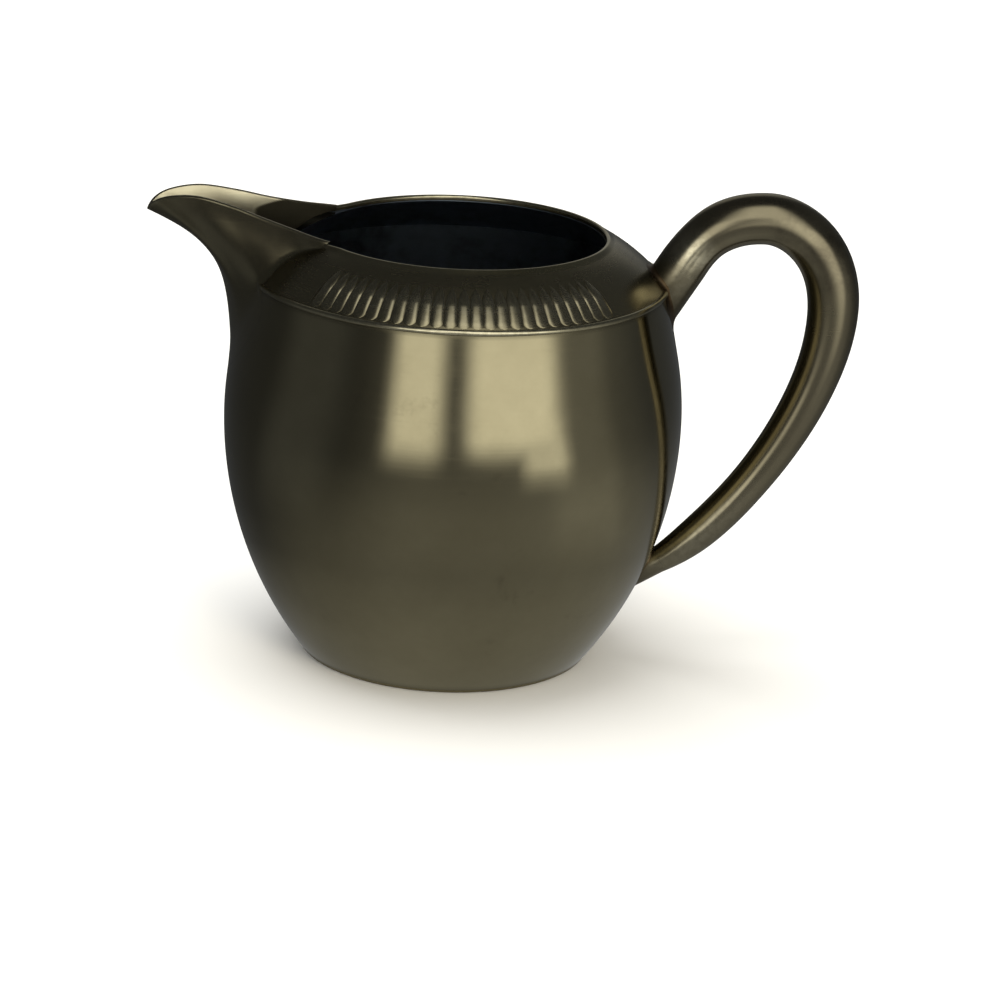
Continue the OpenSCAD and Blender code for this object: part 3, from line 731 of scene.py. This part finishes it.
def spout_outside(v, from_end, steps, strip_steps):
    """Outer side of the sheet, one row to each v: from the edge to the root, and from there out
    on the body's skin. Gives the points and their u, which is 1 at the root."""
    # Limits of the steepness and of the curve's width, and how many steps even them out
    steep_range, soft_range, even = (0.08, 1.2), (0.2, 1.5), 9
    vv, uu = np.meshgrid(v, np.linspace(0, 1, steps), indexing="ij")
    outer = spout_face(vv, uu)
    # The sheet comes down on the skin in a soft curve, wide where the two meet at a steep angle
    step = outer[:, -1] - outer[:, -3]
    reach = np.linalg.norm(step, axis=-1)
    steep = np.clip((over_skin(outer[:, -3]) - over_skin(outer[:, -1])) / reach, *steep_range)
    steep = np.convolve(np.pad(steep, even // 2, mode="edge"), np.ones(even) / even, mode="valid")
    soft = np.clip(4 * steep, *soft_range) * unit(from_end / 0.2 + 0.3)
    steep, soft = steep[:, None], soft[:, None]
    off = np.abs(over_skin(outer))
    lift = np.where(off < soft, (soft - off) ** 2 / (4 * soft), 0)
    lift *= outer[..., 2] < neck_h - 0.05
    widen(outer, 1 + lift / axis_distance(outer))
    # Beyond the root the sheet runs out on the skin
    out_len = np.linspace(0, 1, strip_steps + 1)[1:] * (soft / steep + 0.2)
    strip = (spout_face(vv[:, -1:], uu[:, -1:])
             + out_len[..., None] * (step / reach[:, None])[:, None])
    strip[..., 2] = np.minimum(strip[..., 2], neck_h - 0.02)
    off = -out_len * steep
    lift = np.where(-off < soft, (soft + off) ** 2 / (4 * soft), 0) + 0.01
    widen(strip, (skin_r(strip[..., 2]) + lift) / axis_distance(strip))
    return (np.concatenate([outer, strip], axis=1), np.concatenate([uu, 1 + out_len / 20], axis=1))


def spout_inside(outer, uu, du):
    """Inner side of the sheet: along the normal of the outer one, and level with it at the edge,
    where the edge is rounded over."""
    level_u, least_n, wall_depth, least_t = 0.15, 0.4, 0.6, 0.1
    n = np.cross(du, np.gradient(outer, axis=0))[:, :uu.shape[1]]
    n /= np.maximum(np.linalg.norm(n, axis=-1, keepdims=True), 1e-9)
    n[..., 2] *= unit(uu / level_u)
    n /= np.maximum(np.linalg.norm(n, axis=-1, keepdims=True), least_n)
    outer = outer[:, :uu.shape[1]]
    inner = outer + spout_t * n
    # It stays inside the body's wall, but never comes out through the sheet
    distance = axis_distance(inner)
    least = np.minimum(skin_r(np.minimum(inner[..., 2], neck_h)) - wall_depth,
                       axis_distance(outer) - least_t)
    widen(inner, np.where((inner[..., 2] < neck_h) & (distance < least), least / distance, 1))
    return inner


def rounded_edge(outer, inner, along, steps, flatten=0.75):
    """Flattened half circle from the outer side's first points over to the inner side's."""
    mid, halfway = (outer + inner) / 2, (inner - outer) / 2
    up = -along / np.linalg.norm(along, axis=-1, keepdims=True)
    up -= halfway * (np.sum(up * halfway, -1)
                     / np.maximum(np.sum(halfway * halfway, -1), 1e-9))[:, None]
    up /= np.linalg.norm(up, axis=-1, keepdims=True)
    height = np.linalg.norm(halfway, axis=-1, keepdims=True)
    return np.stack([mid + halfway * math.cos(a) + up * height * math.sin(a) * flatten
                     for a in np.linspace(math.pi, 0, steps + 1)[1:-1]], 1)


def make_spout():
    """The raised sheet of the spout, one closed row to each step round its edge: up the outer
    side, over the edge and down the inner side."""
    steps, deep_steps, strip_steps, edge_steps = 192, 60, 14, 10
    end_run, most_lean, root_u, edge_highlight_and_wear = 0.12, 0.62, 0.04, 0.14
    v = np.linspace(0, 1, steps + 1)
    from_end = 1 - np.abs(2 * v - 1)
    outer, uu = spout_outside(v, from_end, deep_steps, strip_steps)
    du = np.gradient(outer, axis=1)
    inner = spout_inside(outer, uu[:, :deep_steps], du)
    edge = rounded_edge(outer[:, 0], inner[:, 0], du[:, 0], edge_steps)
    row = np.concatenate([outer[:, ::-1], edge, inner], axis=1)
    rows, cols = row.shape[:2]
    # Toward its ends the sheet's top leans in like the mouth wire that it meets
    lean = unit(1 - from_end / end_run)[:, None] ** 2
    lean = most_lean * lean * np.clip((row[..., 2] - neck_h) / rim_h, 0, 1.2)
    widen(row, 1 - lean / axis_distance(row))
    # Tarnish and painted shade along the root. The trough is bright at the tip and darkened toward
    # the mouth with painted shade, with a border that bends away along the top.
    outer_n = outer.shape[1]
    trough = outer_n + 7
    grime = np.zeros((rows, cols))
    root_patina_and_shade = (unit(1 - np.abs(uu[:, ::-1] - 1.0) / root_u)
                  * unit((0.42 - from_end) / 0.3)[:, None])
    grime[:, :outer_n] = root_patina_and_shade * 0.2
    border_x, border_z, bend, border_w = -40.4, 83.2, 1.6, 1.2
    dark = unit((row[..., 0] - border_x - bend * np.clip(row[..., 2] - border_z, 0, 2) ** 2)
                / border_w)
    grime[:, trough:] = (1.1 * dark * dark * (3 - 2 * dark))[:, trough:]
    kinds = ([0] * trough + [1] * (cols - 1 - trough) + [0]) * (rows - 1) + [0, 0]
    # Wear and a painted highlight lighten the rounded edge
    bright = np.zeros((rows, cols))
    bright[:, outer_n - 1:trough + 1] = edge_highlight_and_wear
    piece = mesh_object("spout_raised", row.reshape(-1, 3), tube_faces(rows, cols),
                        [raised_plate, pale_highlight_plate], kinds, smooth_angle=50,
                        grime=grime, rubbed=bright)
    hand_over(piece, "spout")


# -------------------- handle

# Three cubic curves in the middle plane: from the root to the top, the outermost point, the foot
out_x = belly_r + handle_reach
root_pt = np.array([float(skin_r(handle_root_h)), handle_root_h])
foot_pt = np.array([float(skin_r(handle_foot_h)), handle_foot_h])
top_span, rise_span = out_x - root_pt[0], handle_top_h - handle_root_h
fall_span = handle_top_h - handle_foot_h
top_pt = np.array([root_pt[0] + 0.57 * top_span, handle_top_h])
out_pt = np.array([out_x, handle_top_h - 0.247 * fall_span])
handle_spans = [
    [root_pt, root_pt + [0.12 * top_span, 0.42 * rise_span], top_pt - [0.37 * top_span, 0], top_pt],
    [top_pt, top_pt + [0.16 * top_span, 0], out_pt + [0, 0.865 * rise_span], out_pt],
    [out_pt, out_pt - [0, 0.295 * fall_span],
     foot_pt + [0.4 * top_span, 0.075 * fall_span], foot_pt]]
# Radius of the tube along the handle, in shares of handle_r
tube_shares = [1, 0.94, 0.91, 0.96, 0.98, 0.99, 1, 1, 0.975, 0.86, 0.76, 0.7, 0.44]
# Shares of the line where the tube starts to come down on the body, and the gap it keeps there
start_share, end_share, end_lift = 0.085, 0.975, 0.02


def handle_at(t):
    """Point of the handle's middle line at share t of its three curves."""
    i = min(int(t * 3), 2)
    return cubic(handle_spans[i], t * 3 - i)


def handle_dir(t, near=0.004):
    """Direction of the middle line at share t, from its points near by."""
    d = handle_at(min(t + near, 1)) - handle_at(max(t - near, 0))
    return d / np.hypot(*d)


def tube_point(t, a, inset):
    """Point of the tube at share t and angle a round it, inset from its outer face."""
    c, d = handle_at(t), handle_dir(t)
    r = handle_r * float(smooth(tube_shares, t)) - inset
    return np.array([c[0] - d[1] * r * math.cos(a), -r * math.sin(a),
                     c[1] + d[0] * r * math.cos(a)])


def landed(p, d, lift):
    """The point where p, carried along d, comes down on the body's skin."""
    low, high = -handle_r, 5 * handle_r
    for _ in range(26):
        mid = (low + high) / 2
        q = p + mid * d
        if math.hypot(q[0], q[1]) - float(skin_r(q[2])) > lift:
            low = mid
        else:
            high = mid
    return p + d * (low + high) / 2


def tube_end(toward):
    """Share of the tube's end and its direction down to the body: toward is -1 for the upper
    end and 1 for the lower one."""
    t = start_share if toward < 0 else end_share
    d = handle_dir(t) * toward
    return t, np.array([d[0], 0, d[1]])


def seat_point(toward, a, inset, lift):
    """Point of the tube's end, landed on the body."""
    t, d = tube_end(toward)
    return landed(tube_point(t, a, inset), d, lift)


def make_handle_half(side, name, node):
    """Half of the hollow tube, on the side of -y for 1 and of +y for -1."""
    steps, halves, patina_and_shade_rows = 150, 30, 7
    shares = start_share + (end_share - start_share) * np.arange(steps + 1) / steps
    turns = [math.pi * j / halves for j in range(halves + 1)]
    skins = []
    for inset in (0.0, handle_wall):
        seat, tail = [[seat_point(toward, a, inset, end_lift) for a in turns] for toward in (-1, 1)]
        tube = [[tube_point(t, a, inset) for a in turns] for t in shares]
        skins.append(np.array(
            [seat] + [[s + (e - s) * f for s, e in zip(seat, tube[0])] for f in (0.25, 0.5, 0.75)]
            + tube + [[s + (e - s) * f for s, e in zip(tube[-1], tail)]
                      for f in (0.25, 0.5, 0.75, 1)]))
    row = np.concatenate([skins[0], skins[1][:, ::-1]], axis=1)
    row[..., 1] *= side
    rows, cols = row.shape[:2]
    ends = np.arange(rows)
    # Tarnish and painted shade darken both ends, where the tube meets the body
    grime = sum(unit(1 - away / patina_and_shade_rows) ** 1.5 * 0.7 for away in (ends, rows - 1 - ends))
    # Scuffed bright on the outside near both roots, more at the upper one, with a painted highlight
    # there too
    scuff_and_highlight = 0.6 * unit(1 - np.abs(ends - 12) / 12)
    scuff_and_highlight += 0.2 * unit(1 - np.abs(rows - 14 - ends) / 16)
    round_share = np.concatenate([np.sin(np.linspace(0, math.pi, halves + 1)) ** 2,
                                  np.zeros(halves + 1)])
    piece = mesh_object(name, row.reshape(-1, 3), tube_faces(rows, cols), [shaded_handle_plate],
                        grime=np.repeat(grime, cols), rubbed=np.outer(scuff_and_highlight, round_share))
    hand_over(piece, node)


def make_fillet(toward, size, name, node):
    """Hollow run of solder in the corner between the tube's end and the body."""
    turns, into, foot_lift = 96, 0.02, 0.015
    d = tube_end(toward)[1]
    rows = []
    for k in range(turns):
        a = 2 * math.pi * k / turns
        run = size * (1 + 0.12 * math.sin(3 * a + 1) + 0.08 * math.sin(7 * a))
        corner = seat_point(toward, a, -into, end_lift)
        up = corner - run * d
        out = seat_point(toward, a, -into - run, foot_lift)
        f = np.linspace(0, 1, 7)[:, None]
        hollow = corner * 0.72 + (up + out) * 0.14
        curve = (1 - f) ** 2 * up + 2 * f * (1 - f) * hollow + f ** 2 * out
        rows.append(np.concatenate([curve, [corner]]))
    row = np.array(rows)
    faces = grid_faces(turns, row.shape[1], True, True)
    piece = mesh_object(name, row.reshape(-1, 3), faces, [lead_solder])
    hand_over(piece, node)


cutter = make_opening()
make_barrel(cutter)
make_shoulder(cutter)
bpy.data.objects.remove(cutter)
make_base()
make_joint_wire()
make_rim_wire()
make_spout()
make_handle_half(1, "handle_front_half", "handle_front")
make_handle_half(-1, "handle_back_half", "handle_back")
make_fillet(-1, upper_fillet, "solder_upper_run", "handle_upper_solder")
make_fillet(1, lower_fillet, "solder_lower_run", "handle_lower_solder")


# -------------------- studio, in metres

def make_floor():
    """A wide pale floor, just under the creamer's base."""
    reach, drop = 6.0, 0.00015
    material, tree = empty_material("floor_pale")
    pale = add(tree, "ShaderNodeBsdfDiffuse", {"Color": hex_colour("F2F1EC")})
    add(tree, "ShaderNodeOutputMaterial", None, Surface=pale)
    mesh = bpy.data.meshes.new("floor")
    mesh.from_pydata([(-reach, -reach, 0), (reach, -reach, 0), (reach, reach, 0),
                      (-reach, reach, 0)], [], [(0, 1, 2, 3)])
    mesh.materials.append(material)
    floor = place_in_scene("floor", mesh)
    floor.location.z = -drop


# Lights of the tent: level, then centre, half width and soft edge in azimuth and in elevation.
# A wide window in front on the right, its lower corner, a narrow pane on the left, and a
# ceiling light over them.
tent_lights = [(3.2, (30, 16, 13), (10, 11, 11)), (2.2, (44, 7, 8), (-5, 6, 5)),
               (3.0, (-18, 7, 11), (10, 12, 12)), (2.7, (10, 12, 34), (44, 19, 16))]
# The light behind the creamer, the same on both sides
back_light = (0.6, (180, 12, 20), (24, 14, 10))


def bump_of(value, centre, half, soft):
    """1 within half of the centre, falling softly to 0 over soft."""
    share = min(max((abs(value - centre) - half) / soft, 0), 1)
    return 1 - share * share * (3 - 2 * share)


def glow_of(az, el, level, across, up):
    """What a soft patch of the given level gives in a direction."""
    return level * bump_of(az, *across) * bump_of(el, *up)


def tent_level(az, el):
    """Brightness of the studio in a direction, as linear red, green and blue: the dark walls, a
    dim glow near the window, the floor, and the brightest of the lights."""
    dark = (0.10 + glow_of(az, el, 0.05, (110, 50, 60), (0, 40, 30))
            + glow_of(az, el, 0.12, (-76, 8, 22), (-6, 12, 16)))
    near = 0.24 * bump_of(az, 30, 40, 50) + 0.2 * bump_of(az, 64, 10, 14)
    near *= bump_of(el, -8, 12, 20)
    floor = 0.15 + 0.22 * bump_of(az, 35, 40, 80) - 0.13 * bump_of(az, -125, 25, 40)
    floor = (floor + 0.1 * bump_of(abs(az), 180, 10, 20)) * bump_of(el, -80, 46, 26)
    warm = near + floor + 0.2 * bump_of(el, -66, 14, 20)
    light = max(glow_of(abs(az), el, *back_light), *(glow_of(az, el, *one) for one in tent_lights))
    return (light + dark * 0.95 + warm, light * 0.99 + dark + warm,
            light * 0.92 + dark * 1.06 + warm * 0.95)


def make_tent():
    """The studio round the object, which only its reflections show: a bowl over a flat ring that
    starts at the creamer's foot, each point as bright as tent_level says."""
    rings, floor_rings, turns = 40, 14, 96
    radius, start_r, ring_z, strength, eye_z = 1.4, 0.0283, 0.0004, 0.5, 0.05
    profile = [(radius * (start_r / radius) ** (k / floor_rings), ring_z)
               for k in range(floor_rings, 0, -1)]
    profile += [(radius * math.cos(el), ring_z + radius * math.sin(el))
                for el in (math.pi / 2 * k / rings for k in range(rings + 1))]
    angles = [2 * math.pi * j / turns for j in range(turns)]
    verts = [(r * math.cos(az), r * math.sin(az), z) for r, z in profile for az in angles]
    mesh = bpy.data.meshes.new("tent")
    mesh.from_pydata(verts, [], grid_faces(len(profile), turns, False, True))
    level = mesh.color_attributes.new("level", "FLOAT_COLOR", "POINT")
    values = []
    for x, y, z in verts:
        az = math.degrees(math.atan2(x, -y))
        el = math.degrees(math.atan2(z - eye_z, math.hypot(x, y)))
        values += [*tent_level(az, el), 1.0]
    level.data.foreach_set("color", values)
    material, tree = empty_material("tent_cloth")
    glow = add(tree, "ShaderNodeAttribute", {"attribute_name": "level"})
    shine = add(tree, "ShaderNodeEmission", {"Strength": strength}, Color=glow.outputs["Color"])
    add(tree, "ShaderNodeOutputMaterial", None, Surface=shine)
    mesh.materials.append(material)
    tent = place_in_scene("tent", mesh)
    tent.visible_camera = False
    tent.visible_shadow = False
    tent.visible_diffuse = False


def lamp(name, place, toward, size, power, colour="FFFFFF"):
    """A soft area lamp, which reflections do not show."""
    data = bpy.data.lights.new(name, "AREA")
    data.shape = "RECTANGLE"
    data.size, data.size_y = size
    data.energy = power
    data.color = hex_colour(colour)[:3]
    piece = place_in_scene(name, data)
    piece.location = place
    aim = Vector(toward) - Vector(place)
    piece.rotation_euler = aim.to_track_quat("-Z", "Y").to_euler()
    piece.visible_glossy = False


make_floor()
make_tent()
lamp("window_soft", (0.55, -1.3, 0.75), (0, 0, 0.05), (0.5, 0.7), 9, "FFF3DC")
lamp("top_soft", (-0.2, 0.2, 1.2), (0, 0, 0.03), (1.2, 1.2), 12)

# The world lights the object a little less than it shows itself
world = bpy.data.worlds.new("studio")
bpy.context.scene.world = world
world.use_nodes = True
sky = world.node_tree
sky.nodes.clear()
path = add(sky, "ShaderNodeLightPath").outputs
seen = add(sky, "ShaderNodeMath", {"operation": "ADD"},
           i0=path["Is Camera Ray"], i1=path["Is Glossy Ray"])
seen = add(sky, "ShaderNodeMath", {"operation": "ADD", "use_clamp": True},
           i0=seen, i1=path["Is Transmission Ray"])
fill, white = [add(sky, "ShaderNodeBackground", {"Color": hex_colour("FFFFFF"), "Strength": level})
               for level in (0.8, 1.0)]
mixed = add(sky, "ShaderNodeMixShader", None, i0=seen, i1=fill, i2=white)
add(sky, "ShaderNodeOutputWorld", None, Surface=mixed)

# Camera: 0.73 m away, 18.6 degrees above the horizon, turned 2.9 degrees about its own axis
pitch, pan, roll = math.radians(18.6), math.radians(0.8304), math.radians(2.923)
camera_place, focal_length, sensor_width = (0, -0.68245, 0.25913), 133.54, 36
ahead = Vector((math.sin(pan) * math.cos(pitch), math.cos(pan) * math.cos(pitch), -math.sin(pitch)))
right = Vector((math.cos(pan), -math.sin(pan), 0))
above = right.cross(ahead)
camera_x = right * math.cos(roll) + above * math.sin(roll)
camera_y = above * math.cos(roll) - right * math.sin(roll)
lens = bpy.data.cameras.new("camera")
lens.sensor_fit = "HORIZONTAL"
lens.sensor_width = sensor_width
lens.lens = focal_length
camera = place_in_scene("camera", lens)
camera.matrix_world = Matrix.Translation(camera_place) @ Matrix(
    (camera_x, camera_y, -ahead)).transposed().to_4x4()
bpy.context.scene.camera = camera

bpy.context.scene.view_settings.view_transform = "Standard"
